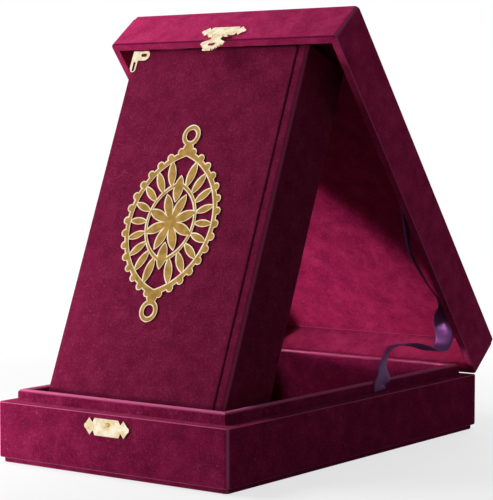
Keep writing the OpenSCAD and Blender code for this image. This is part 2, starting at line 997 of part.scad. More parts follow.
module tail_band() {
  end_band(square_w);
}

// Face of a corner guard, its corner on the origin, legs along +x and -y
module guard_face() {
  lobe_r = guard_top_h / 2;
  difference() {
    union() {
      translate([0, -guard_top_h])
        square([guard_top_w - lobe_r, guard_top_h]);
      translate([guard_top_w - lobe_r, -lobe_r])
        circle(lobe_r);
      translate([0, -guard_side_h + guard_side_w / 2])
        square([guard_side_w, guard_side_h - guard_side_w / 2]);
      translate([guard_side_w / 2, -guard_side_h + guard_side_w / 2])
        circle(guard_side_w / 2);
    }
    translate([guard_top_w - lobe_r * 1.25, -lobe_r])
      soft_rect(lobe_r * 1.2, lobe_r * 0.56, lobe_r * 0.27);
    translate([guard_side_w * 0.52, -(guard_side_h + guard_top_h) / 2])
      soft_rect(guard_side_w * 0.4, (guard_side_h - guard_top_h) * 0.78, guard_side_w * 0.19);
  }
}

// Brass sheet over one corner of a cover: its face and the two turned edges
module corner_guard() {
  translate([-book_w / 2, 0, book_h])
    rotate([90, 0, 0])
      linear_extrude(guard_t)
        guard_face();
  translate([-book_w / 2 - guard_t, -guard_t, book_h])
    cube([guard_top_w - guard_top_h / 2 + guard_t, cover_t + guard_t, guard_t]);
  translate([-book_w / 2 - guard_t, -guard_t, book_h - guard_side_h + guard_side_w / 2])
    cube([guard_t, cover_t + guard_t, guard_side_h - guard_side_w / 2 + guard_t]);
}

// Guard on the front or the back cover, at the head or the tail
module placed_guard(back, tail) {
  color(gold)
    in_book()
      translate([0, back ? book_t : 0, tail ? book_h : 0])
        mirror([0, back ? 1 : 0, 0])
          mirror([0, 0, tail ? 1 : 0])
            corner_guard();
}

module guard_front_top() {
  placed_guard(false, false);
}

module guard_front_bottom() {
  placed_guard(false, true);
}

module guard_back_top() {
  placed_guard(true, false);
}

module guard_back_bottom() {
  placed_guard(true, true);
}

// Emblem: an openwork almond medallion with a scalloped border, leaves and pendants

// Pointed almond made where two large circles cross
module almond(w, h) {
  r = (h * h + w * w) / (4 * w);
  intersection_for(sx = [-1, 1])
    translate([sx * (r - w / 2), 0])
      circle(r, $fn = 128);
}

// Pointed band between two almonds
module almond_band(w, h, band) {
  difference() {
    almond(w, h);
    almond(w - 2 * band, h - 2 * band * h / w);
  }
}

// Point on the side of an almond, as seen from its middle, and the way out of it there
function almond_point(w, h, t) = let(
  r = (h * h + w * w) / (4 * w),
  a = t * asin(h / (2 * r))
) [r * cos(a) - r + w / 2, r * sin(a), a];

// Half-round scallops along both sides of the border
module scallops(w, h, r, n) {
  for (sx = [-1, 1], i = [-n : n]) {
    p = almond_point(w, h, i / (n + 0.6));
    translate([sx * p.x, p.y])
      circle(r);
  }
}

// Leaves that join the border to the inner almond
module leaf_ring(outer, inner, n) {
  for (sx = [0, 1], i = [-n : n]) {
    a = almond_point(outer.x, outer.y, i / (n + 0.9));
    b = almond_point(inner.x, inner.y, i / (n + 0.9));
    gap = [a.x - b.x, a.y - b.y];
    mirror([sx, 0])
      translate([(a.x + b.x) / 2, (a.y + b.y) / 2])
        rotate(atan2(gap.y, gap.x) - 90)
          almond(norm(gap) * 0.42, norm(gap) * 1.24);
  }
}

// Rosette of pointed petals about a boss
module rosette(r, petals) {
  circle(r * 0.3);
  for (i = [0 : petals - 1])
    rotate((i + 0.5) * 360 / petals)
      translate([0, r * 0.56])
        almond(r * 0.36, r * 0.96);
}

// Pierced pendant with a round knop towards the medallion
module pendant(w, h) {
  translate([0, h * 0.6])
    almond_band(w, h * 0.8, w * 0.24);
  translate([0, h * 0.12])
    circle(w * 0.3);
}

module cover_emblem() {
  size = [emblem_w, emblem_h];
  inner = size * 0.56;
  field = [size.x - 2 * emblem_rim, size.y - 2 * emblem_rim * size.y / size.x];
  scallop_r = emblem_rim * 0.8;
  middle_x = -(shoulder_w + groove_w) / 2;
  color(gold)
    in_book()
      translate([middle_x, 0, book_h / 2 + emblem_rise])
        rotate([90, 0, 0])
          linear_extrude(emblem_t) {
            almond_band(size.x, size.y, emblem_rim);
            difference() {
              scallops(size.x, size.y, scallop_r, 7);
              almond(field.x, field.y);
            }
            leaf_ring(field, inner, 4);
            almond_band(inner.x, inner.y, emblem_rim * 0.7);
            rosette(inner.x / 2, 8);
            for (turn = [0, 180])
              rotate(turn)
                translate([0, inner.y / 2 - emblem_rim * 1.5])
                  mirror([0, 1])
                    almond(inner.x * 0.2, inner.y * 0.34);
            for (turn = [0, 180])
              rotate(turn)
                translate([0, emblem_h / 2 - emblem_rim * 0.5])
                  pendant(emblem_w * 0.2, emblem_h * 0.19);
          }
}

bottom_board();
base_front_board();
base_back_board();
base_left_board();
base_right_board();
base_cover();
lip_front();
lip_back();
lip_left();
lip_right();
floor_pad();
strike_plate();
strike_knob();
strike_nails();
hinge_base_leaf_left();
hinge_base_leaf_right();
hinge_pin_left();
hinge_pin_right();
hinge_base_nails();
ribbon_stay();
lid_front_board();
lid_back_board();
lid_left_board();
lid_right_board();
lid_cover();
lid_top_panel();
lid_pad();
clasp_plate();
clasp_nails();
hasp_pin();
hasp();
hinge_lid_leaf_left();
hinge_lid_leaf_right();
hinge_lid_nails();
book_front_cover();
book_back_cover();
book_spine();
page_block();
head_band();
tail_band();
guard_front_top();
guard_front_bottom();
guard_back_top();
guard_back_bottom();
cover_emblem();
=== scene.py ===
"""A velvet book box, open, with its book leaning in the tray: materials, soft pieces, light
and camera."""
import math

import bmesh
import bpy
import numpy as np
from mathutils import Matrix, Vector

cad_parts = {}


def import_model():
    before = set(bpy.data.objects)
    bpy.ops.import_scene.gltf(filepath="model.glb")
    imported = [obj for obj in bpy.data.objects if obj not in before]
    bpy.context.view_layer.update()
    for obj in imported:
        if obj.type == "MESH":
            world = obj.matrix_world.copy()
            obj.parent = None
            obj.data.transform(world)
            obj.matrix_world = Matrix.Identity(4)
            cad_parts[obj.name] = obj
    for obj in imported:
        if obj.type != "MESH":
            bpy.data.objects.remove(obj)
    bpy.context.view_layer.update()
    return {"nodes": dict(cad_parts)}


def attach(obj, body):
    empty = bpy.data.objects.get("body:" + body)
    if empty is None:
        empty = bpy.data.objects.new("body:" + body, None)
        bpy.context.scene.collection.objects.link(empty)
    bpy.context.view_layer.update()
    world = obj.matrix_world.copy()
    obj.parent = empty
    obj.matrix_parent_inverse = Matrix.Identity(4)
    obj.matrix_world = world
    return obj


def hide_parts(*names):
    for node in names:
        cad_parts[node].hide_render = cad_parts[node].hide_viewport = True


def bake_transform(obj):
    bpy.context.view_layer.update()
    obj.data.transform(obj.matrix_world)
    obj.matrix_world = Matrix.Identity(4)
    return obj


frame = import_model()
nodes = frame["nodes"]
MM = 0.001

# Resting angles of the lid and the book, and the lid's hinge axis in metres, as in the part
LID_OPEN = math.radians(51.6442)
BOOK_LEAN = math.radians(21.9826)
HINGE = Vector((0, 0.1357, 0.03615))


# Materials

# A wave texture of scale 1 repeats at this distance, in metres
WAVE_PITCH = math.pi / 10

# Share of a normal that lies along one of the body's own axes: on a flat face, well into a bend
FLAT, BENT = 0.97, 0.74

# Velvet colours: a pale pink, painted as sheen over edges and as glints on tufts and also the tone
# of paler wisps; a dark one for painted shade on one edge; and the tint of the sheen seen from the
# side
PALE_WISP_AND_SHEEN = "#c45c88"
EDGE_SHADE = "#68133a"
SHEEN = "#d3648b"

WHITE = (1, 1, 1, 1)


def linear(hex_colour):
    """sRGB hex to the linear RGBA that shaders take."""
    parts = [int(hex_colour[i:i + 2], 16) / 255 for i in (1, 3, 5)]
    return [c / 12.92 if c <= 0.04045 else ((c + 0.055) / 1.055) ** 2.4 for c in parts] + [1.0]


def add(tree, kind, settings, links):
    """Adds a node. Settings are its properties, the values of its inputs or the three stops of
    a ramp, and links join its inputs, by name or number, to other nodes' outputs."""
    n = tree.nodes.new(kind)
    for key, value in settings.items():
        if key == "stops":
            n.color_ramp.elements.new(0.5)
            for e, (position, colour) in zip(n.color_ramp.elements, value):
                e.position, e.color = position, linear(colour)
        elif key in n.inputs.keys() or isinstance(key, int):
            n.inputs[key].default_value = value
        else:
            setattr(n, key, value)
    for key, source in links.items():
        tree.links.new(source, n.inputs[key])
    return n


def new_material(name, **shader):
    """A material with its Principled shader set, and the places on the piece: Object in its own
    space and UV on the cloth laid flat, both in metres, and the Normal."""
    m = bpy.data.materials.new(name)
    m.use_nodes = True
    tree = m.node_tree
    bsdf = tree.nodes["Principled BSDF"]
    for key, value in shader.items():
        bsdf.inputs[key.replace("_", " ")].default_value = value
    places = add(tree, "ShaderNodeTexCoord", {}, {}).outputs
    return m, tree, bsdf, places


def join(tree, bsdf, **sources):
    """Joins other nodes' outputs to the shader's inputs of these names."""
    for key, source in sources.items():
        tree.links.new(source, bsdf.inputs[key.replace("_", " ")])


def painted_edge_sheen(tree, facing, axes):
    """Mask of the painted sheen: 1 where the velvet bends over an edge, 0 on the flat faces, which
    look along these axes.
    """
    sides = add(tree, "ShaderNodeVectorMath", {"operation": "ABSOLUTE"}, {0: facing})
    xyz = add(tree, "ShaderNodeSeparateXYZ", {}, {0: sides.outputs[0]})
    flattest = xyz.outputs[axes[0]]
    for axis in axes[1:]:
        larger = add(tree, "ShaderNodeMath", {"operation": "MAXIMUM"},
                     {0: flattest, 1: xyz.outputs[axis]})
        flattest = larger.outputs[0]
    edges = add(tree, "ShaderNodeMapRange", {"From Min": FLAT, "From Max": BENT},
                {"Value": flattest})
    return edges.outputs[0]


def wisps_and_painted_sheen(tree, place, tufts, edges):
    """How far the colour turns to the pale pink, from 0 to 1: over the edges as a painted sheen,
    in wisps of brushed-up pile, which are paler, and in single tufts as painted glints."""
    wisps = add(tree, "ShaderNodeTexNoise",
                {"Scale": 1 / (5 * MM), "Detail": 6.0, "Roughness": 0.7, "Distortion": 2.0},
                {"Vector": place})
    share = edges
    for pattern, start, end in ((wisps, 0.57, 0.8), (tufts, 0.57, 0.85)):
        pale = add(tree, "ShaderNodeMapRange",
                   {"From Min": start, "From Max": end, "To Max": 0.45},
                   {"Value": pattern.outputs["Fac"]})
        larger = add(tree, "ShaderNodeMath", {"operation": "MAXIMUM"},
                     {0: share, 1: pale.outputs[0]})
        share = larger.outputs[0]
    return share


def painted_edge_shade(tree, facing, shaded_edge, colour):
    """The colour with a dark line of painted shade on the edge that looks along the given
    direction.
    """
    along = add(tree, "ShaderNodeVectorMath", {"operation": "DOT_PRODUCT", 1: shaded_edge},
                {0: facing})
    edge_shade_share = add(tree, "ShaderNodeMapRange", {"From Min": 0.75, "From Max": 0.9},
                  {"Value": along.outputs["Value"]})
    dark = add(tree, "ShaderNodeMix", {"data_type": "RGBA", 7: linear(EDGE_SHADE)},
               {"Factor": edge_shade_share.outputs[0], 6: colour})
    return dark.outputs[2]


def velvet(name, deep, mid, lit, edge, turn=0.0, axes="XYZ", shaded_edge=None):
    """Cotton velvet, cut pile on a woven ground: brushed marks turn the pile and change its colour
    a little, and brushed wisps are paler. Single tufts get painted glints, the pile gets a painted
    pale sheen where it bends over an edge, and the shader's sheen brightens it seen from the side.
    Turn brings the body upright, and an edge that then looks along the direction given last gets a
    dark line of painted shade."""
    m, tree, bsdf, place = new_material(
        name, Roughness=0.95, Sheen_Weight=0.3, Sheen_Roughness=0.38, Sheen_Tint=linear(SHEEN),
        Specular_IOR_Level=0.0)
    marks = add(tree, "ShaderNodeTexNoise",
                {"Scale": 1 / (11 * MM), "Detail": 5.0, "Roughness": 0.66, "Distortion": 0.3},
                {"Vector": place["Object"]})
    # tufts are 0.3 mm across in truth and drawn at 1 mm so that they show
    tufts = add(tree, "ShaderNodeTexNoise",
                {"Scale": 1 / (1.0 * MM), "Detail": 2.0, "Roughness": 0.7},
                {"Vector": place["Object"]})
    both = add(tree, "ShaderNodeMix", {"Factor": 0.34},
               {"A": marks.outputs["Fac"], "B": tufts.outputs["Fac"]})
    pile = add(tree, "ShaderNodeValToRGB", {"stops": [(0.3, deep), (0.5, mid), (0.7, lit)]},
               {"Fac": both.outputs[0]})
    upright = add(tree, "ShaderNodeMapping",
                  {"Rotation": (turn, 0, 0), "vector_type": "NORMAL"},
                  {"Vector": place["Normal"]})
    facing = upright.outputs[0]
    share = wisps_and_painted_sheen(tree, place["Object"], tufts, painted_edge_sheen(tree, facing, axes))
    # inputs 6 and 7 and output 2 of a mix of colours are the two colours and their blend
    # edge is the pale pink of the painted sheen on bends and of the painted glints on tufts, and
    # the tone of the paler wisps
    blend = add(tree, "ShaderNodeMix", {"data_type": "RGBA", 7: linear(edge)},
                {"Factor": share, 6: pile.outputs["Color"]})
    colour = blend.outputs[2]
    if shaded_edge:
        colour = painted_edge_shade(tree, facing, shaded_edge, colour)
    bump = add(tree, "ShaderNodeBump", {"Strength": 0.3, "Distance": 0.4 * MM},
               {"Height": tufts.outputs["Fac"]})
    join(tree, bsdf, Base_Color=colour, Normal=bump.outputs["Normal"])
    return m


def brass(name, pale, deep, roughness):
    """Pressed brass sheet, gilt: a mirror-like skin with faint rolling waves and duller, olive
    patches."""
    m, tree, bsdf, place = new_material(name, Metallic=1.0)
    patches = add(tree, "ShaderNodeTexNoise", {"Scale": 1 / (5 * MM), "Detail": 3.0},
                  {"Vector": place["Object"]})
    colour = add(tree, "ShaderNodeValToRGB",
                 {"stops": [(0.35, deep), (0.62, pale), (1.0, pale)]},
                 {"Fac": patches.outputs["Fac"]})
    dull = add(tree, "ShaderNodeMapRange",
               {"To Min": roughness * 0.7, "To Max": roughness * 1.5},
               {"Value": patches.outputs["Fac"]})
    waves = add(tree, "ShaderNodeTexNoise", {"Scale": 1 / (1.6 * MM), "Detail": 1.0},
                {"Vector": place["Object"]})
    bump = add(tree, "ShaderNodeBump", {"Strength": 0.12, "Distance": 0.1 * MM},
               {"Height": waves.outputs["Fac"]})
    join(tree, bsdf, Base_Color=colour.outputs["Color"], Roughness=dull.outputs[0],
         Normal=bump.outputs["Normal"])
    return m


def satin(name, thread, lit):
    """Woven polyester satin ribbon: smooth and soft, with fine floating threads that run along
    the ribbon, some of them paler."""
    m, tree, bsdf, place = new_material(
        name, Roughness=0.4, Specular_IOR_Level=0.08, Anisotropic=0.5)
    # threads are 0.15 mm apart in truth and drawn at 0.6 mm so that they show
    weave = add(tree, "ShaderNodeTexWave",
                {"Scale": WAVE_PITCH / (0.6 * MM), "Distortion": 0.4, "bands_direction": "X"},
                {"Vector": place["UV"]})
    colour = add(tree, "ShaderNodeValToRGB",
                 {"stops": [(0.0, thread), (0.5, thread), (1.0, lit)]},
                 {"Fac": weave.outputs["Fac"]})
    bump = add(tree, "ShaderNodeBump", {"Strength": 0.15, "Distance": 0.05 * MM},
               {"Height": weave.outputs["Fac"]})
    join(tree, bsdf, Base_Color=colour.outputs["Color"], Normal=bump.outputs["Normal"])
    return m


def leaves(name):
    """Cut edges of cream book paper: fine parallel leaves, toned by the gaps between them, some
    a little darker."""
    m, tree, bsdf, place = new_material(name, Roughness=0.8)
    # the book leans, so the leaves' direction is turned back upright first
    upright = add(tree, "ShaderNodeMapping", {"Rotation": (BOOK_LEAN, 0, 0)},
                  {"Vector": place["Object"]})
    # leaves are 0.1 mm thick in truth and drawn at 0.8 mm so that they show
    stack = add(tree, "ShaderNodeTexWave",
                {"Scale": WAVE_PITCH / (0.8 * MM), "Distortion": 1.2, "Detail": 2.0,
                 "bands_direction": "Y"},
                {"Vector": upright.outputs[0]})
    colour = add(tree, "ShaderNodeValToRGB",
                 {"stops": [(0.0, "#85734f"), (0.6, "#b0a07c"), (1.0, "#bdae8c")]},
                 {"Fac": stack.outputs["Fac"]})
    bump = add(tree, "ShaderNodeBump", {"Strength": 0.4, "Distance": 0.1 * MM},
               {"Height": stack.outputs["Fac"]})
    join(tree, bsdf, Base_Color=colour.outputs["Color"], Normal=bump.outputs["Normal"])
    return m


def band_thread(name):
    """Woven silk headband: alternating wine and cream threads, 1.6 mm apart, across a cord."""
    m, tree, bsdf, place = new_material(name, Roughness=0.6)
    stripes = add(tree, "ShaderNodeTexWave",
                  {"Scale": WAVE_PITCH / (1.6 * MM), "bands_direction": "Y"},
                  {"Vector": place["Object"]})
    colour = add(tree, "ShaderNodeValToRGB",
                 {"stops": [(0.45, "#6d1233"), (0.55, "#e9d6a4"), (1.0, "#e9d6a4")]},
                 {"Fac": stripes.outputs["Fac"]})
    join(tree, bsdf, Base_Color=colour.outputs["Color"])
    return m


def pine(name):
    """Planed pine: pale straw wood with darker year lines 6 mm apart."""
    m, tree, bsdf, place = new_material(name, Roughness=0.6)
    grain = add(tree, "ShaderNodeTexWave",
                {"Scale": WAVE_PITCH / (6 * MM), "Distortion": 4.0, "Detail": 3.0,
                 "bands_direction": "Z"},
                {"Vector": place["Object"]})
    colour = add(tree, "ShaderNodeValToRGB",
                 {"stops": [(0.2, "#b98a54"), (0.8, "#d9b784"), (1.0, "#d9b784")]},
                 {"Fac": grain.outputs["Fac"]})
    join(tree, bsdf, Base_Color=colour.outputs["Color"])
    return m


# Each panel has its own copy of the same cloth, a little lighter or darker, as painted light and
# shade: the lid's is lighter and the book's darker. On the lid a line of painted shade lies on the
# lower edge of its front, which looks half forward and half down
LID_SHADED_EDGE = (0, -math.sqrt(0.5), -math.sqrt(0.5))
BASE_VELVET = velvet("wine_velvet_base", "#5e0e31", "#7c173e", "#962551", PALE_WISP_AND_SHEEN)
LID_VELVET_PAINTED_LIGHTER = velvet("wine_velvet_lid", "#82173f", "#a22655", "#bd3669", PALE_WISP_AND_SHEEN, turn=LID_OPEN,
                    shaded_edge=LID_SHADED_EDGE)
BOOK_VELVET_PAINTED_DARKER = velvet("wine_velvet_book", "#551029", "#681634", "#77213f", "#a8446a",
                     turn=BOOK_LEAN)
# on the lips the top face, which looks along Z, counts as a bend, so the painted sheen covers it
# all
LIP_VELVET = velvet("wine_velvet_lip", "#5a0e2f", "#76163c", "#90244f", PALE_WISP_AND_SHEEN, axes="XY")
FLOOR_VELVET = velvet("wine_velvet_floor", "#6a1138", "#8a1b44", "#a42a56", PALE_WISP_AND_SHEEN)
LINING_VELVET = velvet("wine_velvet_lining", "#74123b", "#971d49", "#b22e5d", PALE_WISP_AND_SHEEN,
                       turn=LID_OPEN)
GILT = brass("gilt_pressed_brass", "#fdf0d6", "#e6cf9f", 0.2)
GILT_SATIN = brass("satin_gilt_brass", "#bd944e", "#9b783e", 0.3)
SATIN = satin("purple_polyester_satin", "#723a79", "#9b639f")
LEAVES = leaves("cream_book_paper")
BAND = band_thread("silk_headband")
PINE = pine("planed_pine")

FINISHES = {
    BASE_VELVET: ["base_cover", "bottom_board"],
    LID_VELVET_PAINTED_LIGHTER: ["lid_cover", "lid_top_panel"],
    BOOK_VELVET_PAINTED_DARKER: ["book_front_cover", "book_back_cover", "book_spine"],
    LIP_VELVET: ["lip_front", "lip_back", "lip_left", "lip_right"],
    PINE: ["base_front_board", "base_back_board", "base_left_board", "base_right_board",
           "lid_front_board", "lid_back_board", "lid_left_board", "lid_right_board"],
    LEAVES: ["page_block"],
    BAND: ["head_band", "tail_band"],
    GILT: ["strike_nails", "hinge_base_nails", "clasp_nails", "hinge_lid_nails",
           "hinge_pin_left", "hinge_pin_right", "hasp_pin", "strike_knob"],
}
for material, names in FINISHES.items():
    for node_name in names:
        nodes[node_name].data.materials.clear()
        nodes[node_name].data.materials.append(material)


# Pieces made here

def mesh_object(name, points, faces, material, smooth=True):
    """An object of these points, in metres, and faces, in the scene."""
    mesh = bpy.data.meshes.new(name)
    mesh.from_pydata([tuple(p) for p in points], [], faces)
    mesh.update()
    if smooth:
        mesh.shade_smooth()
    mesh.materials.append(material)
    o = bpy.data.objects.new(name, mesh)
    bpy.context.scene.collection.objects.link(o)
    return o


# Pressed brass, in mm: width of the rolled edge on the thick plate, on thin sheet and on the
# emblem, and the emblem's rim and the depth of the field inside it
PLATE_ROLL, SHEET_ROLL, EMBLEM_ROLL = 0.2, 0.15, 0.1
RIM_W, FIELD_SUNK = 0.65, 0.3

# Bends under FLAT_BEND are no edge, over CUT_BEND are a cut edge, and over CRISP_BEND look crisp
FLAT_BEND, CUT_BEND, CRISP_BEND = math.radians(1), math.radians(40), math.radians(25)


def raised_rim(bm, out):
    """Sinks the face that looks along out, and leaves a narrow rim standing about it."""
    field = [f for f in bm.faces if f.normal.dot(out) > 0.99]
    bmesh.ops.inset_region(bm, faces=field, thickness=RIM_W * MM, depth=0, use_even_offset=True)
    for v in {v for f in field for v in f.verts}:
        v.co -= out * FIELD_SUNK * MM
    for f in field:
        f.material_index = 1


def roll_edges(bm, width_mm):
    """Rounds the cut edges of a sheet."""
    bmesh.ops.dissolve_limit(bm, angle_limit=FLAT_BEND, verts=bm.verts, edges=bm.edges,
                             delimit={"MATERIAL"})
    cut = [e for e in bm.edges if len(e.link_faces) == 2 and e.calc_face_angle() > CUT_BEND]
    bmesh.ops.bevel(bm, geom=cut, offset=width_mm * MM, segments=2, profile=0.6,
                    affect="EDGES", clamp_overlap=True)


def pressed_sheet(node_name, body, roll_mm, rim_out=None):
    """The sheet-metal piece of a node with its cut edges rolled over, so that they catch the
    light. Where rim_out says which way its face looks, the face is sunk inside a narrow
    polished rim."""
    bm = bmesh.new()
    bm.from_mesh(nodes[node_name].data)
    bmesh.ops.remove_doubles(bm, verts=bm.verts, dist=1e-6)
    if rim_out:
        raised_rim(bm, rim_out)
    roll_edges(bm, roll_mm)
    mesh = bpy.data.meshes.new(node_name + "_pressed")
    bm.to_mesh(mesh)
    bm.free()
    mesh.materials.append(GILT)
    if rim_out:
        mesh.materials.append(GILT_SATIN)
    o = bpy.data.objects.new(node_name + "_pressed", mesh)
    bpy.context.scene.collection.objects.link(o)
    mesh.shade_smooth()
    mesh.set_sharp_from_angle(angle=CRISP_BEND)
    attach(o, body)
    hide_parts(node_name)


pressed_sheet("strike_plate", "base", PLATE_ROLL)
pressed_sheet("clasp_plate", "lid", SHEET_ROLL)
pressed_sheet("hasp", "hasp", SHEET_ROLL)
for side in ("left", "right"):
    pressed_sheet("hinge_base_leaf_" + side, "base", SHEET_ROLL)
    pressed_sheet("hinge_lid_leaf_" + side, "lid", SHEET_ROLL)
for corner in ("front_top", "front_bottom", "back_top", "back_bottom"):
    pressed_sheet("guard_" + corner, "book", SHEET_ROLL)
pressed_sheet("cover_emblem", "book", EMBLEM_ROLL,
              rim_out=Vector((0, -math.cos(BOOK_LEAN), math.sin(BOOK_LEAN))))


# The ribbon's route, in mm: inset from the box's right side, distance from its back, height
# over the ledge. It is the part's, moved over a little so that the book passes it as the lid
# opens
RIBBON_ROUTE = [
    (5.5, 84, 119), (8, 77, 107), (11.5, 70, 94.5), (14, 60, 80.5), (14, 42, 63),
    (14.2, 28.5, 51), (13.6, 23.5, 40), (12.4, 21.5, 29), (12.2, 25, 20), (12.2, 36, 18),
    (12.2, 54, 23), (12.2, 73, 26), (12, 87, 24), (10.5, 96, 17), (7.7, 103, 10),
    (8, 106.9, 4.5), (8.1, 107, 0.8)]
BOX_RIGHT, BOX_BACK, LEDGE = 85, 136, 36

# Which way the ribbon's width lies at each place of the route
RIBBON_LAY = [
    (0, 0.8, 0.6), (-0.1, 0.8, 0.55), (-0.3, 0.8, 0.4), (-0.45, 0.8, 0.2), (-0.5, 0.8, 0.05),
    (-0.5, 0.8, 0), (0.4, 1, 0), (1, 0.15, 0), (1, 0, 0), (1, 0, 0),
    (1, 0, 0.1), (1, 0, 0.15), (0.65, -0.75, 0.1), (0.35, -0.93, 0), (0, -1, 0),
    (0, -1, 0), (0, -1, 0)]
RIBBON_W, RIBBON_T = 13 * MM, 0.4 * MM

# Steps between two places of the route, and points across one face of the ribbon
RIBBON_STEPS, RIBBON_ACROSS = 10, 9


def smooth_curve(values, steps):
    """Points of a smooth curve through the given ones, with as many steps between each pair."""
    p = np.array([values[0]] + list(values) + [values[-1]], float)
    out = []
    for i in range(1, len(p) - 2):
        a, b, c, d = p[i - 1:i + 3]
        for t in np.linspace(0, 1, steps, endpoint=False):
            out.append(b + t * (c - a) / 2 + t ** 2 * (2 * a - 5 * b + 4 * c - d) / 2
                       + t ** 3 * (3 * b - a - 3 * c + d) / 2)
    return np.array(out + [p[-2]])


def unit(v):
    """The directions of these vectors, each of length 1."""
    return v / np.linalg.norm(v, axis=-1, keepdims=True)


def strip_faces(steps, ring):
    """Faces of a closed strip that has a ring of so many points at each step."""
    faces = []
    for i in range(steps - 1):
        for k in range(ring):
            a, b = i * ring + k, i * ring + (k + 1) % ring
            faces.append((a, a + ring, b + ring, b))
    first, last = range(ring), range((steps - 1) * ring, steps * ring)
    return faces + [tuple(first), tuple(reversed(last))]


def lay_flat(mesh, widths, steps, length):
    """Gives each point of the strip its place on the ribbon laid flat, in metres."""
    flat = mesh.uv_layers.new(name="laid_flat")
    for corner in mesh.loops:
        i, k = divmod(corner.vertex_index, len(widths))
        flat.data[corner.index].uv = ((widths[k] + 1) / 2 * RIBBON_W, i / (steps - 1) * length)


def ribbon():
    """The satin stay: a thin strip along its route."""
    route = smooth_curve(RIBBON_ROUTE, RIBBON_STEPS)
    line = np.stack(
        [BOX_RIGHT - route[:, 0], BOX_BACK - route[:, 1], LEDGE + route[:, 2]], 1) * MM
    lay = smooth_curve(RIBBON_LAY, RIBBON_STEPS)
    run = unit(np.gradient(line, axis=0))
    side = unit(lay - run * np.sum(lay * run, 1, keepdims=True))
    face = np.cross(run, side)
    # one ring: across the one face, from -1 to 1, and back across the other
    widths = [*np.linspace(-1, 1, RIBBON_ACROSS), *np.linspace(1, -1, RIBBON_ACROSS)]
    signs = [1] * RIBBON_ACROSS + [-1] * RIBBON_ACROSS
    rings = np.stack([line + side * (u * RIBBON_W / 2) + face * (sign * RIBBON_T / 2)
                      for u, sign in zip(widths, signs)], 1)
    length = float(np.sum(np.linalg.norm(np.diff(line, axis=0), axis=1)))
    faces = strip_faces(len(line), len(widths))
    o = mesh_object("satin_ribbon", rings.reshape(-1, 3), faces, SATIN)
    lay_flat(o.data, widths, len(line), length)
    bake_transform(o)
    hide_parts("ribbon_stay")


ribbon()


# Padded panels, in mm: width, depth and thickness, and how much of that is the swell; the
# height of the floor pad's underside, and of the lid pad's outer side when the lid is shut
FLOOR_PAD, FLOOR_SWELL, FLOOR_Z = (143.6, 245.6, 2.5), 0.5, 3
LID_PAD, LID_SWELL, LID_Z = (159.6, 261.6, 4), 0.8, 63.3

# Faces across and along a panel, number of dent waves, and their depth as a share of the swell
PAD_ACROSS, PAD_ALONG = 56, 88
DENTS, DENT_DEPTH = 6, 0.06


def dents(a, b, waves, phases):
    """Sum of the soft waves at a place on a panel, which runs from -1 to 1 both ways."""
    return sum(math.sin(k[0] * a * 3 + p[0]) * math.sin(k[1] * b * 3 + p[1])
               for k, p in zip(waves, phases))


def panel_faces(across, along):
    """Faces of a panel's top, and the one of its flat underside."""
    row = across + 1
    top = [(j * row + i, j * row + i + 1, (j + 1) * row + i + 1, (j + 1) * row + i)
           for j in range(along) for i in range(across)]
    rim = (list(range(row)) + [j * row + across for j in range(1, along + 1)]
           + [along * row + i for i in range(across - 1, -1, -1)]
           + [j * row for j in range(along - 1, 0, -1)])
    return top + [tuple(reversed(rim))]


def padded_panel(name, material, size_mm, swell_mm, seed):
    """A thin padded panel on z = 0: its edges roll over and its face swells a little, with soft
    dents."""
    w, d, t = (v * MM for v in size_mm)
    crown = swell_mm * MM
    rng = np.random.default_rng(seed)
    phases = rng.uniform(0, 2 * math.pi, (DENTS, 2))
    waves = rng.uniform(0.6, 2.4, (DENTS, 2))
    # points lie closer together near the edges, where the panel bends
    u = np.sin(np.linspace(-math.pi / 2, math.pi / 2, PAD_ACROSS + 1))
    v = np.sin(np.linspace(-math.pi / 2, math.pi / 2, PAD_ALONG + 1))
    points = []
    for b in v:
        for a in u:
            inset_x, inset_y = (1 - abs(a)) * w / 2, (1 - abs(b)) * d / 2
            edge = min(inset_x, inset_y, t) / t
            roll = math.sqrt(max(0.0, 1 - (1 - edge) ** 2))
            swell = crown * (1 - a ** 4) * (1 - b ** 4)
            height = (t - crown) * roll + swell * (1 + DENT_DEPTH * dents(a, b, waves, phases))
            points.append((a * w / 2, b * d / 2, height))
    return mesh_object(name, points, panel_faces(PAD_ACROSS, PAD_ALONG), material)


def place_pad(o, node_name, body, matrix):
    """Puts a panel in the place of a node."""
    o.data.transform(matrix)
    o.data.update()
    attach(o, body)
    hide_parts(node_name)


floor_panel = padded_panel("padded_floor", FLOOR_VELVET, FLOOR_PAD, FLOOR_SWELL, seed=3)
place_pad(floor_panel, "floor_pad", "base", Matrix.Translation((0, 0, FLOOR_Z * MM)))

# the lid's panel looks down, and opens with the lid
lid_panel = padded_panel("padded_lid_lining", LINING_VELVET, LID_PAD, LID_SWELL, seed=5)
lid_turn = (Matrix.Translation(HINGE) @ Matrix.Rotation(-LID_OPEN, 4, "X")
            @ Matrix.Translation(-HINGE))
looking_down = Matrix.Translation((0, 0, LID_Z * MM)) @ Matrix.Rotation(math.pi, 4, "Y")
place_pad(lid_panel, "lid_pad", "lid", lid_turn @ looking_down)


# Studio

# Half the floor's side, and the distances over which it brightens away from the box, in metres
FLOOR_HALF = 4
SHADOW_NEAR, SHADOW_FAR = 0.22, 0.5

# Light of the surroundings on the box; to the camera and in metal they are white
AMBIENT = 0.09

# The photo's camera, fitted to the edges of the box: turn, tilt, place, and focal length in
# pixels of a picture that is PHOTO_H pixels high
CAMERA_TURN, CAMERA_TILT = math.radians(36.273), math.radians(3.724)
CAMERA_PLACE = Vector((650.906, -890.587, 193.229)) * MM
FOCAL_PX, PHOTO_H = 1783, 500
SENSOR_MM = 36

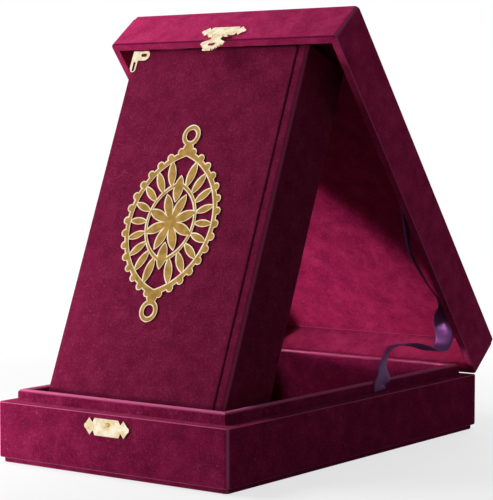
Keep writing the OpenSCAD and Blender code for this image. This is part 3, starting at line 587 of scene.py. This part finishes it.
# Place and target in metres, width in metres, power in watts, spread in degrees
LAMPS = {
    # the main light, soft, on the lid's front and the book's cover
    "above": ((-0.32, -0.15, 0.5), (0, -0.02, 0.2), 0.3, 2.55, 180),
    # passes behind the book and throws its slanting shadow on the lid's inside; it stands so
    # low that the tray's left lip shades the tray's back
    "left": ((-0.25, -0.283, 0.055), (0, -0.05, 0.1), 0.05, 0.8, 180),
    # fills the fronts of the tray and the book
    "front_low": ((-0.3, -0.7, 0.06), (0, -0.05, 0.2), 0.2, 0.9, 180),
    # a narrow one for the lower part of the lid's inside, and the narrowest for the ribbon's fold
    "under_lid": ((-0.35, -0.4, 0.06), (0, 0.13, 0.065), 0.04, 0.05, 24),
    "on_ribbon": ((-0.35, -0.4, 0.06), (0.071, 0.113, 0.063), 0.02, 0.015, 4),
    # keeps the right sides from going black
    "right": ((1.0, 0.25, 0.5), (0, 0, 0.1), 0.6, 0.8, 180),
    # on the lid's top, for the views from behind
    "behind": ((-0.3, 1.1, 0.8), (0, 0, 0.12), 0.8, 7, 180),
}


def seen_rays(tree):
    """1 for the rays that show the background: from the camera, in metal and through anything
    clear."""
    path = add(tree, "ShaderNodeLightPath", {}, {})
    seen = path.outputs["Is Camera Ray"]
    for kind in ("Is Glossy Ray", "Is Transmission Ray"):
        either = add(tree, "ShaderNodeMath", {"operation": "MAXIMUM"},
                     {0: seen, 1: path.outputs[kind]})
        seen = either.outputs[0]
    return seen


def floor():
    """Pale paper floor: white where it is seen, with a light shadow about the box that fades
    farther out."""
    m, tree, bsdf, place = new_material("white_paper", Roughness=0.9)
    h = FLOOR_HALF
    corners = [(-h, -h, 0), (h, -h, 0), (h, h, 0), (-h, h, 0)]
    o = mesh_object("floor", corners, [(0, 1, 2, 3)], m, smooth=False)
    seen = seen_rays(tree)
    # seen it is white paper; the light that it throws back on the box is that of a grey table
    paper = add(tree, "ShaderNodeValToRGB",
                {"stops": [(0.0, "#8a8a8a"), (0.5, "#bfbfbf"), (1.0, "#f4f4f4")]},
                {"Fac": seen})
    join(tree, bsdf, Base_Color=paper.outputs["Color"])
    away = add(tree, "ShaderNodeVectorMath", {"operation": "LENGTH"}, {0: place["Object"]})
    glow = add(tree, "ShaderNodeMapRange",
               {"From Min": SHADOW_NEAR, "From Max": SHADOW_FAR, "To Min": 0.72, "To Max": 1.0},
               {"Value": away.outputs["Value"]})
    share = add(tree, "ShaderNodeMath", {"operation": "MULTIPLY"},
                {0: glow.outputs[0], 1: seen})
    white = add(tree, "ShaderNodeEmission", {"Color": WHITE, "Strength": 1.0}, {})
    mix = add(tree, "ShaderNodeMixShader", {},
              {0: share.outputs[0], 1: bsdf.outputs[0], 2: white.outputs[0]})
    tree.links.new(mix.outputs[0], tree.nodes["Material Output"].inputs["Surface"])


def world():
    """White to the camera and in reflections, a soft even light for the rest."""
    w = bpy.data.worlds.new("studio")
    bpy.context.scene.world = w
    w.use_nodes = True
    tree = w.node_tree
    background = tree.nodes["Background"]
    background.inputs["Color"].default_value = WHITE
    strength = add(tree, "ShaderNodeMapRange", {"To Min": AMBIENT, "To Max": 1.0},
                   {"Value": seen_rays(tree)})
    tree.links.new(strength.outputs[0], background.inputs["Strength"])


def softbox(name, position, target, size, power, spread):
    """A round lamp that isn't seen itself, neither by the camera nor in metal."""
    lamp = bpy.data.lights.new(name, "AREA")
    lamp.shape, lamp.size, lamp.energy = "DISK", size, power
    lamp.spread = math.radians(spread)
    o = bpy.data.objects.new(name, lamp)
    o.location = position
    o.visible_camera = o.visible_glossy = False
    way = Vector(target) - Vector(position)
    o.rotation_euler = way.to_track_quat("-Z", "Y").to_euler()
    bpy.context.scene.collection.objects.link(o)


def camera():
    """The photo's camera, from the front right, a little above the tray."""
    az, el = CAMERA_TURN, CAMERA_TILT
    right = Vector((math.cos(az), math.sin(az), 0))
    back = Vector((math.sin(az) * math.cos(el), -math.cos(az) * math.cos(el), math.sin(el)))
    up = back.cross(right)
    data = bpy.data.cameras.new("camera")
    data.sensor_width = SENSOR_MM
    data.lens = FOCAL_PX / PHOTO_H * SENSOR_MM
    data.clip_end = 20
    o = bpy.data.objects.new("camera", data)
    turned = Matrix((right, up, back)).transposed().to_4x4()
    o.matrix_world = Matrix.Translation(CAMERA_PLACE) @ turned
    bpy.context.scene.collection.objects.link(o)
    bpy.context.scene.camera = o


floor()
world()
for lamp_name, lamp_values in LAMPS.items():
    softbox(lamp_name, *lamp_values)
camera()
bpy.context.scene.view_settings.view_transform = "Standard"
